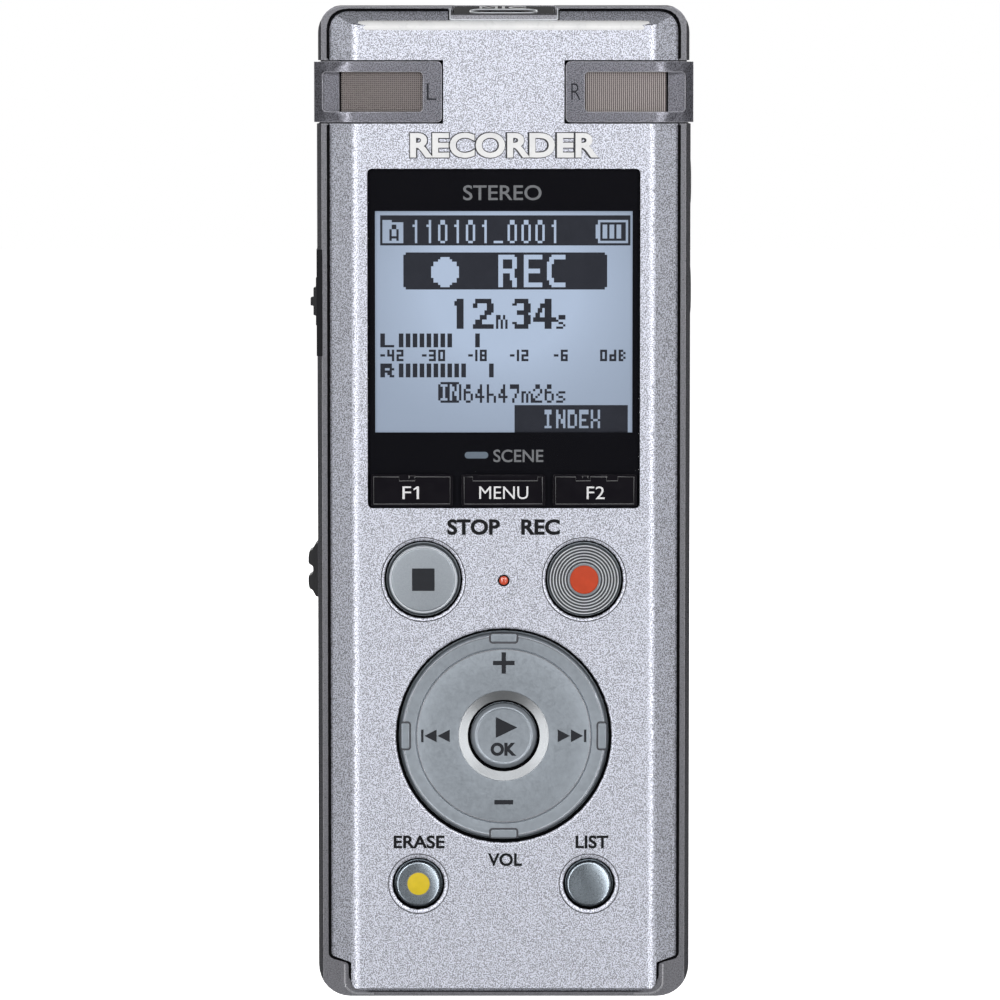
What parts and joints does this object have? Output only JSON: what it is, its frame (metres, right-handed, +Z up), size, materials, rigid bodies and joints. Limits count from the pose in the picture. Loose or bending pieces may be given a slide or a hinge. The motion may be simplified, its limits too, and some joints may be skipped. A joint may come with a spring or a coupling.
{
  "type": "pocket digital voice recorder",
  "caption": "Slim upright pocket dictation recorder: display, round keys, four-way disc, stereo microphones, slide-out USB plug and hinged battery cover.",
  "frame": {"origin": "the middle of the flat bottom end of the case, on the case's middle plane", "axes": "+Z up the length of the case, +X to the user's right, -Y towards the user (the display side)"},
  "size_m": [0.0411, 0.0146, 0.1058],
  "materials": {
    "silver_paint": "fine metallic sparkle, satin",
    "frame_grey": "satin metallic grey",
    "shell_grey": "satin metallic grey",
    "mic_grey": "fine metallic sparkle, darker grey",
    "mic_mesh": "fine woven wire",
    "window": "polished clear window",
    "black_gloss": "polished black",
    "black_satin": "satin black",
    "lcd_glass": "pale blue lit display",
    "diffuser": "milky",
    "key_steel": "satin metal",
    "key_satin": "satin metallic plastic",
    "led_red": "clear red",
    "nickel": "nickel plate",
    "board": "green solder mask",
    "film": "satin film",
    "inner_plastic": "moulded grey",
    "cell_sleeve": "printed sleeve"
  },
  "bodies": {
    "case": {"front_panel": "silver_paint", "mid_frame": "frame_grey", "back_shell": "shell_grey", "screw_1": "nickel", "screw_2": "nickel", "screw_3": "nickel", "screw_4": "nickel", "mic_bezel_right": "mic_grey", "mic_bezel_left": "mic_grey", "mic_mesh_right": "mic_mesh", "mic_mesh_left": "mic_mesh", "mic_capsule_right": "nickel", "mic_capsule_left": "nickel", "top_mic_insert": "black_satin", "top_mic_mesh": "mic_mesh", "top_mic_capsule": "nickel", "display_window": "window", "display_mask": "black_satin", "lcd_panel": "lcd_glass", "lcd_backlight": "diffuser", "led_lens": "led_red", "hold_switch_plate": "black_satin", "hold_switch_base": "nickel", "mic_jack_ring": "nickel", "ear_jack_ring": "nickel", "mic_jack_body": "black_satin", "ear_jack_body": "black_satin", "card_socket": "nickel", "key_board": "board", "dome_sheet": "film", "main_board": "board", "shield_can": "nickel", "speaker": "black_satin", "battery_tray": "inner_plastic", "battery": "cell_sleeve", "battery_contact": "nickel", "battery_spring": "nickel"},
    "battery_door": {"battery_cover": "shell_grey"},
    "card_door": {"card_cover": "shell_grey"},
    "stop_key": {"stop_button": "key_steel"},
    "rec_key": {"rec_button": "key_steel"},
    "erase_key": {"erase_button": "key_steel"},
    "list_key": {"list_button": "key_steel"},
    "f1_key": {"soft_key_f1": "black_gloss"},
    "menu_key": {"soft_key_menu": "black_gloss"},
    "f2_key": {"soft_key_f2": "black_gloss"},
    "ok_key": {"ok_button": "key_satin"},
    "nav_pivot": {"nav_gimbal": "inner_plastic"},
    "nav_disc": {"nav_ring": "key_satin"},
    "hold_knob": {"hold_switch_knob": "black_satin"},
    "usb_slide": {"usb_lever": "black_satin", "usb_carriage": "inner_plastic", "usb_plug_shell": "nickel", "usb_tongue": "black_satin"}
  },
  "joints": [
    {"name": "stop_press", "type": "slide", "parent": "case", "child": "stop_key", "axis": [0, 1, 0], "range_m": [0, 0.00025], "stiffness_N_per_m": 4000},
    {"name": "rec_press", "type": "slide", "parent": "case", "child": "rec_key", "axis": [0, 1, 0], "range_m": [0, 0.00025], "stiffness_N_per_m": 4000},
    {"name": "erase_press", "type": "slide", "parent": "case", "child": "erase_key", "axis": [0, 1, 0], "range_m": [0, 0.00025], "stiffness_N_per_m": 4000},
    {"name": "list_press", "type": "slide", "parent": "case", "child": "list_key", "axis": [0, 1, 0], "range_m": [0, 0.00025], "stiffness_N_per_m": 4000},
    {"name": "f1_press", "type": "slide", "parent": "case", "child": "f1_key", "axis": [0, 1, 0], "range_m": [0, 0.00025], "stiffness_N_per_m": 4000},
    {"name": "menu_press", "type": "slide", "parent": "case", "child": "menu_key", "axis": [0, 1, 0], "range_m": [0, 0.00025], "stiffness_N_per_m": 4000},
    {"name": "f2_press", "type": "slide", "parent": "case", "child": "f2_key", "axis": [0, 1, 0], "range_m": [0, 0.00025], "stiffness_N_per_m": 4000},
    {"name": "ok_press", "type": "slide", "parent": "case", "child": "ok_key", "axis": [0, 1, 0], "range_m": [0, 0.00025], "stiffness_N_per_m": 4000},
    {"name": "nav_tilt_up_down", "type": "hinge", "parent": "case", "child": "nav_pivot", "pos_m": [0, -0.006, 0.0282], "axis": [1, 0, 0], "range_deg": [-1, 1], "stiffness_Nm_per_rad": 0.4},
    {"name": "nav_tilt_left_right", "type": "hinge", "parent": "nav_pivot", "child": "nav_disc", "pos_m": [0, -0.006, 0.0282], "axis": [0, 0, 1], "range_deg": [-1, 1], "stiffness_Nm_per_rad": 0.4},
    {"name": "hold_slide", "type": "slide", "parent": "case", "child": "hold_knob", "axis": [0, 0, 1], "range_m": [-0.0022, 0.0022]},
    {"name": "usb_extend", "type": "slide", "parent": "case", "child": "usb_slide", "axis": [0, 0, -1], "range_m": [0, 0.016]},
    {"name": "battery_cover_open", "type": "hinge", "parent": "case", "child": "battery_door", "pos_m": [0, 0.00675, 0.00485], "axis": [-1, 0, 0], "range_deg": [0, 90]},
    {"name": "card_cover_open", "type": "hinge", "parent": "case", "child": "card_door", "pos_m": [0.01928, 0.0006, 0.05783], "axis": [0, 1, 0], "range_deg": [0, 90]}
  ]
}
